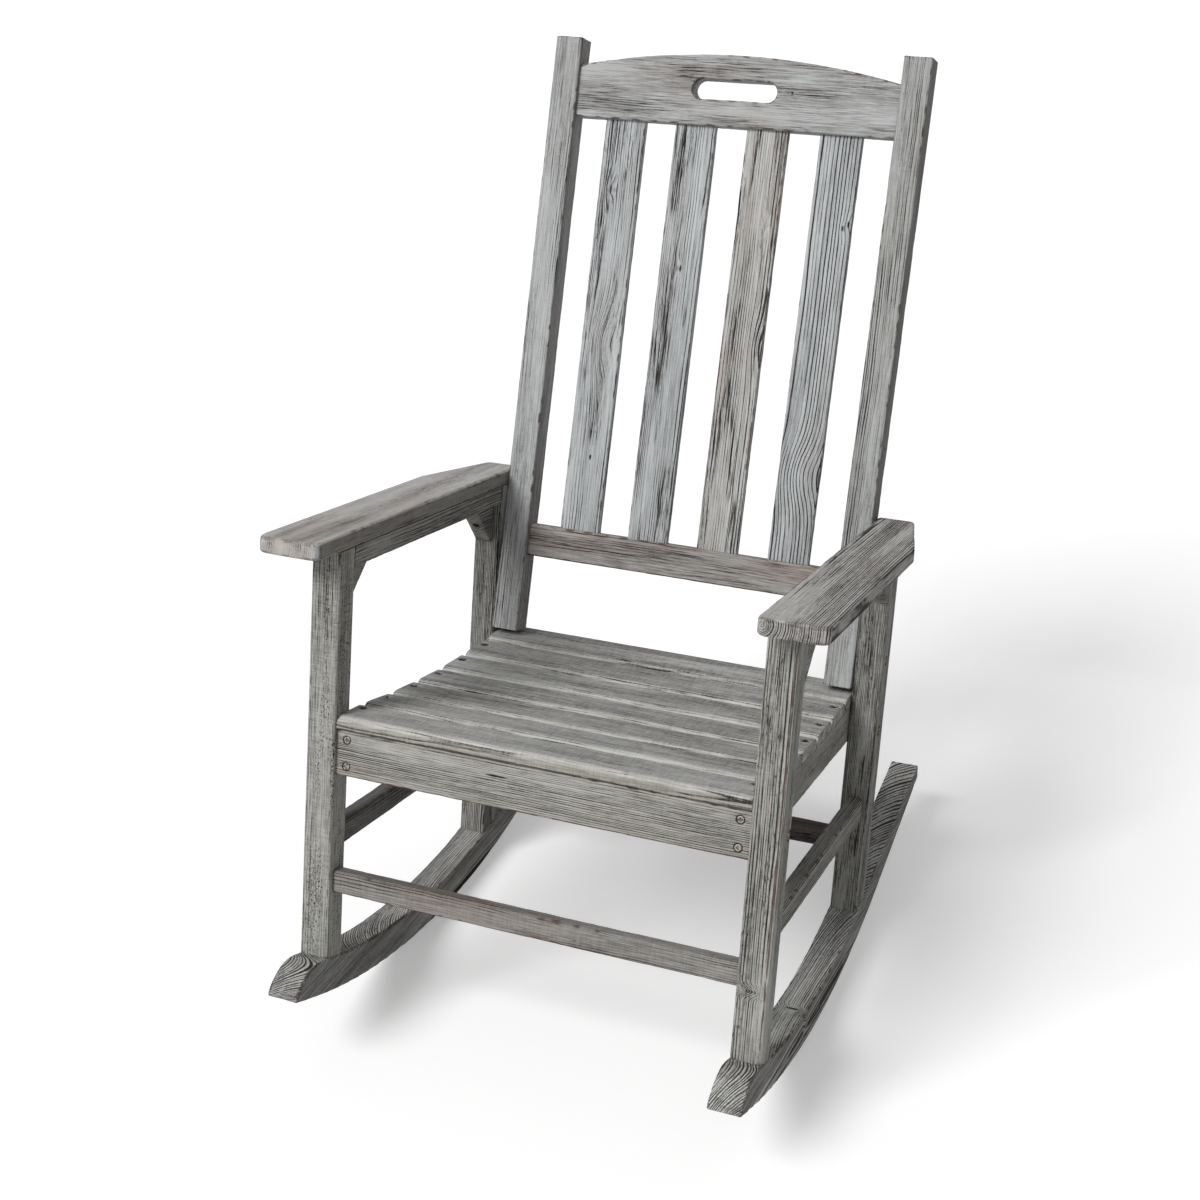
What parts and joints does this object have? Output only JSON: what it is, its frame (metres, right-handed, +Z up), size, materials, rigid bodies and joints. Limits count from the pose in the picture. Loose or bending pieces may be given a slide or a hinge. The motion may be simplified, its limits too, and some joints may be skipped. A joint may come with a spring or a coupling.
{
  "type": "rocking chair",
  "caption": "Porch rocking chair of flat boards and square posts with a slatted seat and back, wide flat arms and curved rockers.",
  "frame": {"origin": "centre of the chair's box at the floor, where the rockers stand", "axes": "+X to the right seen from the front, +Y from the front to the back, +Z up, chair at its resting lean"},
  "size_m": [0.6858, 0.9048, 1.1493],
  "materials": {
    "washed_wood": "worn grey wash over brown wood",
    "light_screw": "bright zinc",
    "dark_screw": "dark, dull",
    "brass_bolt": "dulled brass"
  },
  "bodies": {
    "root": {"apron_screws": "light_screw", "arm_left": "washed_wood", "arm_rail_left": "washed_wood", "arm_rail_right": "washed_wood", "arm_right": "washed_wood", "back_post_left": "washed_wood", "back_post_right": "washed_wood", "back_slat_1": "washed_wood", "back_slat_2": "washed_wood", "back_slat_3": "washed_wood", "back_slat_4": "washed_wood", "block_screws": "dark_screw", "crest_rail": "washed_wood", "front_apron": "washed_wood", "front_block_left": "washed_wood", "front_block_right": "washed_wood", "front_leg_left": "washed_wood", "front_leg_right": "washed_wood", "front_stretcher": "washed_wood", "lower_back_rail": "washed_wood", "post_bolts": "brass_bolt", "rail_bolts": "brass_bolt", "rear_block_left": "washed_wood", "rear_block_right": "washed_wood", "rear_leg_left": "washed_wood", "rear_leg_right": "washed_wood", "rear_seat_rail": "washed_wood", "rear_stretcher": "washed_wood", "rocker_left": "washed_wood", "rocker_right": "washed_wood", "seat_side_rail_left": "washed_wood", "seat_side_rail_right": "washed_wood", "seat_slat_1": "washed_wood", "seat_slat_2": "washed_wood", "seat_slat_3": "washed_wood", "seat_slat_4": "washed_wood", "seat_slat_5": "washed_wood", "seat_slat_6": "washed_wood", "seat_slat_7": "washed_wood", "side_stretcher_left": "washed_wood", "side_stretcher_right": "washed_wood", "slat_screws": "dark_screw"}
  },
  "joints": []
}
